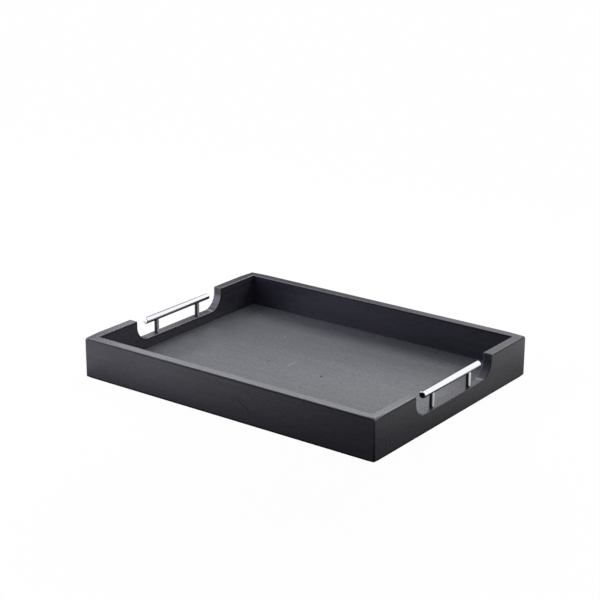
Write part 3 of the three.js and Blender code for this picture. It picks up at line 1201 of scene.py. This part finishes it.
@dataclass
class HandleScrews:
    """Four button-head machine screws with a hexagon socket and a rolled thread, heads down."""

    finish: Material
    head_height: float = 2.4 * MM
    head_dome: float = 1.5 * MM
    dome_power: float = 3.0
    head_sides: int = 48
    head_rings: int = 6
    shank_radius: float = 1.6 * MM
    shank_sides: int = 32
    thread_radius: float = 1.66 * MM
    thread_depth: float = 0.3 * MM
    thread_sides: int = 20
    ridge_sides: int = 3
    pitch: float = 0.7 * MM
    plain_length: float = 4 * MM
    socket_radius: float = 1.44 * MM
    socket_depth: float = 1.3 * MM
    socket_sides: int = 6

    def head(self, piece: NodePiece, bottom: Link, top: Link) -> Node:
        """Adds the domed head with its socket.

        Args:
            piece: The tree.
            bottom: The size that gives the head's lowest point.
            top: The size that gives the face under the head.

        Returns:
            The head's mesh.
        """
        low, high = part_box("right_handle_back_screw")
        radius = piece.size("Head Radius", (high.x - low.x) / 2)
        dome = piece.size("Dome Height", self.head_dome)
        disc = piece.cylinder(radius, bottom, top, self.head_sides, self.head_rings)
        place = add_node(piece.tree, "GeometryNodeInputPosition")
        parts = add_node(piece.tree, "ShaderNodeSeparateXYZ", {"Vector": place}).outputs
        flat = add_node(piece.tree, "ShaderNodeCombineXYZ", {"X": parts["X"], "Y": parts["Y"]})
        reach = add_node(piece.tree, "ShaderNodeVectorMath", {0: flat}, operation="LENGTH")
        share = add_node(piece.tree, "ShaderNodeMath", {0: reach, 1: radius}, operation="DIVIDE")
        curve = add_node(piece.tree, "ShaderNodeMath", {0: share, 1: self.dome_power}, operation="POWER")
        rise = add_node(piece.tree, "ShaderNodeMath", {0: curve, 1: dome}, operation="MULTIPLY")
        under = add_node(piece.tree, "FunctionNodeCompare", {
            0: parts["Z"], 1: piece.sum_of((0.5, bottom), (0.5, top))}, operation="LESS_THAN")
        lift = add_node(piece.tree, "ShaderNodeCombineXYZ", {"Z": rise})
        domed = add_node(piece.tree, "GeometryNodeSetPosition", {
            "Geometry": disc, "Selection": under, "Offset": lift})
        socket = piece.size("Socket Radius", self.socket_radius)
        depth = piece.size("Socket Depth", self.socket_depth)
        mouth = piece.sum_of((1, bottom), (-1, depth))
        floor = piece.sum_of((1, bottom), (1, depth))
        return piece.cut_from(domed, piece.cylinder(socket, mouth, floor, self.socket_sides))

    def thread(self, piece: NodePiece, start: float, stop: float) -> Node:
        """Adds the thread's ridge as a helix.

        Args:
            piece: The tree.
            start: The height where the thread starts.
            stop: The height where it ends.

        Returns:
            The ridge's mesh.
        """
        radius = piece.size("Thread Radius", self.thread_radius)
        helix = add_node(piece.tree, "GeometryNodeCurveSpiral", {
            "Resolution": self.thread_sides, "Rotations": (stop - start) / self.pitch,
            "Start Radius": radius, "End Radius": radius, "Height": stop - start})
        ridge = add_node(piece.tree, "GeometryNodeCurvePrimitiveCircle", {
            "Resolution": self.ridge_sides, "Radius": piece.size("Thread Depth", self.thread_depth)})
        tube = add_node(piece.tree, "GeometryNodeCurveToMesh", {
            "Curve": helix, "Profile Curve": ridge, "Fill Caps": True})
        return add_node(piece.tree, "GeometryNodeTransform", {
            "Geometry": tube, "Translation": (0, 0, start)})

    def build(self) -> None:
        """Makes the screws and sets them on the tray."""
        low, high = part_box("right_handle_back_screw")
        piece = NodePiece("button_head_screws")
        bottom = piece.size("Head Bottom", low.z)
        top = piece.size("Head Top", low.z + self.head_height)
        tip = piece.size("Tip", high.z)
        shank = piece.cylinder(piece.size("Shank Radius", self.shank_radius), top, tip, self.shank_sides)
        ridge = self.thread(piece, low.z + self.head_height + self.plain_length, high.z - self.pitch)
        whole = add_node(piece.tree, "GeometryNodeJoinGeometry")
        for part in (self.head(piece, bottom, top), shank, ridge):
            piece.tree.links.new(part.outputs[0], whole.inputs["Geometry"])
        piece.at_posts(whole, self.finish)
        settle("handle_screws_steel", piece.mesh(), None, fastened("screw"))


@dataclass
class HandleWashers:
    """Four plain washers between the screw heads and the wood."""

    finish: Material
    hole_radius: float = 2.15 * MM
    sides: int = 48

    def build(self) -> None:
        """Makes the washers and sets them on the tray."""
        low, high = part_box("right_handle_back_washer")
        piece = NodePiece("plain_washers")
        bottom = piece.size("Underside", low.z)
        top = piece.size("Upper Face", high.z)
        disc = piece.cylinder(piece.size("Outer Radius", (high.x - low.x) / 2), bottom, top, self.sides)
        past = piece.size("Past Faces", high.z - low.z)
        below = piece.sum_of((1, bottom), (-1, past))
        above = piece.sum_of((1, top), (1, past))
        hole = piece.cylinder(piece.size("Hole Radius", self.hole_radius), below, above, self.sides)
        piece.at_posts(piece.cut_from(disc, hole), self.finish)
        settle("handle_washers_steel", piece.mesh(), None, fastened("washer"))


@dataclass
class MitreTongues:
    """The loose tongues inside the corners, which keep their CAD solids."""

    finish: Material

    def build(self) -> None:
        """Dresses the four tongues."""
        for end in ("front", "back"):
            for side in ("left", "right"):
                node = frame["nodes"][f"{end}_{side}_tongue"]
                node.data.materials.clear()
                node.data.materials.append(self.finish)
                log.info("%s: kept, in beech", node.name)


# Studio


@dataclass
class Studio:
    """A white paper floor in a room that is bright behind and dark in front, and the photograph's camera.

    A softbox hangs behind the tray and lights only the wood and the paper. A bounce card stands at the
    tray's left, its upper half longer than its lower half, and a dark sheet of painted shadow lies on the
    paper.
    """

    paper: Material
    shadow_sheet: Material
    bounce: Material
    paper_size: float = 12.0
    paper_drop: float = 0.2 * MM
    shadow_sheet_size: float = 2.0
    shadow_sheet_drop: float = 0.1 * MM
    sensor: float = 36.0
    lens: float = 98.963
    near_clip: float = 0.05
    far_clip: float = 50.0
    eye: Vector = Vector((1.28438, -1.75838, 0.85213))
    right: Vector = Vector((0.804264, 0.594256, 0.004423))
    up: Vector = Vector((-0.194374, 0.256016, 0.946929))
    look: Vector = Vector((-0.561586, 0.762440, -0.321412))
    bright_side: Vector = Vector((0.376, 0.923, 0.086))
    back_level: float = 1.03
    front_level: float = 0.15
    zenith_level: float = 0.99
    back_turn: tuple[float, float] = (0.55, 0.60)
    zenith_turn: tuple[float, float] = (0.4, 0.9)
    tint_turn: tuple[float, float] = (-0.6, 0.1)
    card_x: float = -0.55
    card_near: float = -0.65
    card_far: float = -0.05
    card_height: float = 0.6
    wing_far: float = 0.2
    wing_bottom: float = 0.4
    softbox_place: Vector = Vector((0.032, 0.598, 0.539))
    softbox_width: float = 2.16
    softbox_height: float = 0.23
    softbox_level: float = 2.79

    def sheet(self, name: str, size: float, drop: float, material: Material) -> Object:
        """Lays a square sheet.

        Args:
            name: The sheet's name.
            size: Its side.
            drop: How far it lies below the tray's base.
            material: Its material.

        Returns:
            The sheet.
        """
        work = bmesh.new()
        bmesh.ops.create_grid(work, x_segments=1, y_segments=1, size=size / 2)
        bmesh.ops.translate(work, verts=work.verts, vec=(0, 0, -drop))
        item = new_object(name, plain_mesh(name, work))
        item.data.materials.append(material)
        return item

    def card(self) -> None:
        """Stands the bounce card at the tray's left, with a wing that reaches farther back."""
        outline = (
            (self.card_near, 0), (self.card_far, 0), (self.card_far, self.wing_bottom),
            (self.wing_far, self.wing_bottom), (self.wing_far, self.card_height),
            (self.card_near, self.card_height))
        mesh = bpy.data.meshes.new("bounce_card")
        mesh.from_pydata([(self.card_x, y, z) for y, z in outline], [], [range(len(outline))])
        mesh.materials.append(self.bounce)
        item = new_object("bounce_card", mesh)
        item.visible_camera = False

    def world(self) -> None:
        """Sets the surroundings: bright behind and overhead, dark in front, and white to the camera."""
        world = bpy.data.worlds.new("studio_room")
        bpy.context.scene.world = world
        world.use_nodes = True
        tree = world.node_tree
        tree.nodes.clear()
        way = add_node(tree, "ShaderNodeTexCoord").outputs["Generated"]
        parts = add_node(tree, "ShaderNodeSeparateXYZ", {"Vector": way}).outputs
        behind = add_node(tree, "ShaderNodeVectorMath", {
            0: way, 1: self.bright_side}, operation="DOT_PRODUCT")
        turns = []
        for part, (start, end) in (
                (behind, self.back_turn), (parts["Z"], self.zenith_turn), (parts["Y"], self.tint_turn)):
            turns.append(add_node(tree, "ShaderNodeMapRange", {
                "Value": part, "From Min": start, "From Max": end}, interpolation_type="SMOOTHSTEP"))
        back, overhead, away = turns
        seen = add_node(tree, "ShaderNodeLightPath").outputs["Is Camera Ray"]
        level: Any = self.front_level
        for share, other in ((back, self.back_level), (overhead, self.zenith_level), (seen, 1.0)):
            level = add_node(tree, "ShaderNodeMix", {"Factor": share, "A": level, "B": other})
        tint = add_node(tree, "ShaderNodeMix", {
            "Factor": away, "A": linear(Colour.DUSK), "B": linear(Colour.DAYLIGHT)}, data_type="RGBA")
        room = add_node(tree, "ShaderNodeBackground", {"Color": tint, "Strength": level})
        add_node(tree, "ShaderNodeOutputWorld", {"Surface": room})

    def softbox(self) -> None:
        """Hangs the softbox above and behind the tray, facing it, as bright as its level times white."""
        data = bpy.data.lights.new("softbox", "AREA")
        data.shape = "RECTANGLE"
        data.size = self.softbox_width
        data.size_y = self.softbox_height
        data.energy = self.softbox_level * math.pi * self.softbox_width * self.softbox_height
        data.color = linear(Colour.SOFTBOX)[:3]
        item = bpy.data.objects.new("softbox", data)
        bpy.context.scene.collection.objects.link(item)
        turn = (-self.softbox_place).to_track_quat("-Z", "Y").to_matrix().to_4x4()
        item.matrix_world = Matrix.Translation(self.softbox_place) @ turn
        item.visible_camera = False
        lit = bpy.data.collections.new("lit_by_softbox")
        for piece in bpy.context.scene.objects:
            if piece.name.endswith(SOFTBOX_LIT_ENDINGS):
                lit.objects.link(piece)
        item.light_linking.receiver_collection = lit

    def camera(self) -> None:
        """Puts the camera where the photograph was taken from."""
        data = bpy.data.cameras.new("camera")
        data.sensor_width = self.sensor
        data.lens = self.lens
        data.clip_start = self.near_clip
        data.clip_end = self.far_clip
        item = bpy.data.objects.new("camera", data)
        bpy.context.scene.collection.objects.link(item)
        turn = Matrix((self.right, self.up, -self.look)).transposed().to_4x4()
        item.matrix_world = Matrix.Translation(self.eye) @ turn
        bpy.context.scene.camera = item

    def build(self) -> None:
        """Sets the studio up."""
        bpy.context.scene.view_settings.view_transform = "Standard"
        self.sheet("paper_floor", self.paper_size, self.paper_drop, self.paper)
        shadow_sheet = self.sheet("dark_flag", self.shadow_sheet_size, self.shadow_sheet_drop, self.shadow_sheet)
        shadow_sheet.visible_camera = False
        self.card()
        self.world()
        self.softbox()
        self.camera()


def floor_marks() -> tuple[Mark, ...]:
    """Gives the marks of use on the floor panel.

    Returns:
        A fine scratch, small pits and dust in the lacquer.
    """
    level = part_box("floor_panel")[1].z
    scratch_turn = (0, 0, math.pi / 2)
    marks = [Mark((-25 * MM, -0.5 * MM, level), 31 * MM, 1 * MM, Colour.SCRATCH, 0.5, turn=scratch_turn)]
    stretch, strength = 1.6, 0.9
    pits = ((37, -14, 4.0), (73, -18, 2.6), (-58, -10, 2.6), (60, -42, 2.2))
    dust = ((-102, 87, 2.4), (-189, 140, 2.2), (-131, 22, 2.0))
    for spots, colour, dull in ((pits, Colour.PIT, 1.0), (dust, Colour.DUST, 0.0)):
        for x, y, size in spots:
            place = (x * MM, y * MM, level)
            marks.append(Mark(place, size * MM, stretch * size * MM, colour, strength, dull))
    return tuple(marks)


def front_marks() -> tuple[Mark, ...]:
    """Gives the mark of use on the front rail.

    Returns:
        A fine dark hairline, drawn as wide as it needs to show.
    """
    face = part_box("front_rail")[0].y
    hairline = Mark(
        (37.5 * MM, face, 26 * MM), 36 * MM, 6 * MM, Colour.PIT, strength=0.9, dull=0.7,
        turn=(0, math.radians(31.8), 0), depth=0.9 * MM)
    return (hairline,)


def build_tray() -> None:
    """Builds and dresses the tray's pieces in order."""
    stain = (Colour.STAIN, Colour.STAIN_PALE, Colour.STAIN_DARK)
    long_wood = LacqueredStain(
        "black_stained_rail_along_x", Grain.ALONG_X, *stain, marks=front_marks()).build()
    end_wood = LacqueredStain("black_stained_rail_along_y", Grain.ALONG_Y, *stain).build()
    panel = LacqueredStain(
        "black_stained_panel", Grain.ALONG_X, Colour.PANEL, Colour.PANEL_PALE, Colour.PANEL_DARK,
        roughness=0.45, flecks=Cells(3.5 * MM, 3.2 * MM, 2.0, 0.6), fleck_share=0.3,
        peel=Cells(4.5 * MM, 4.5 * MM, 2.0, 0.6), peel_relief=0.12 * MM, marks=floor_marks()).build()
    # Each chrome finish paints a dark reflection on one side: the left bar's underside, the right bar's near
    # end, the posts' front-left side.
    left_chrome = PolishedChrome(
        "polished_chrome_left_bar", Vector((0, 0, -1)), painted_dark_start=-0.02, painted_dark_end=0.2).build()
    right_chrome = PolishedChrome(
        "polished_chrome_right_bar", Vector((0, -0.6, -0.8)), painted_dark_start=-0.016, painted_dark_end=0.16).build()
    post_chrome = PolishedChrome(
        "polished_chrome_posts", Vector((-0.26, -0.96, 0)), painted_dark_start=0.3, painted_dark_end=0.8).build()
    zinc = ZincPlate().build()
    RailFrame(long_wood, end_wood).build()
    FloorBoard(panel).build()
    HandleBars(left_chrome, right_chrome).build()
    HandlePosts(post_chrome).build()
    HandleScrews(zinc).build()
    HandleWashers(zinc).build()
    MitreTongues(BareBeech().build()).build()


def main() -> None:
    """Builds the tray, then the studio."""
    logging.basicConfig(level=logging.INFO, format="%(message)s")
    build_tray()
    Studio(StudioPaper().build(), PaintedShadowFlag().build(), BounceCard().build()).build()


if __name__ == "__main__":
    main()
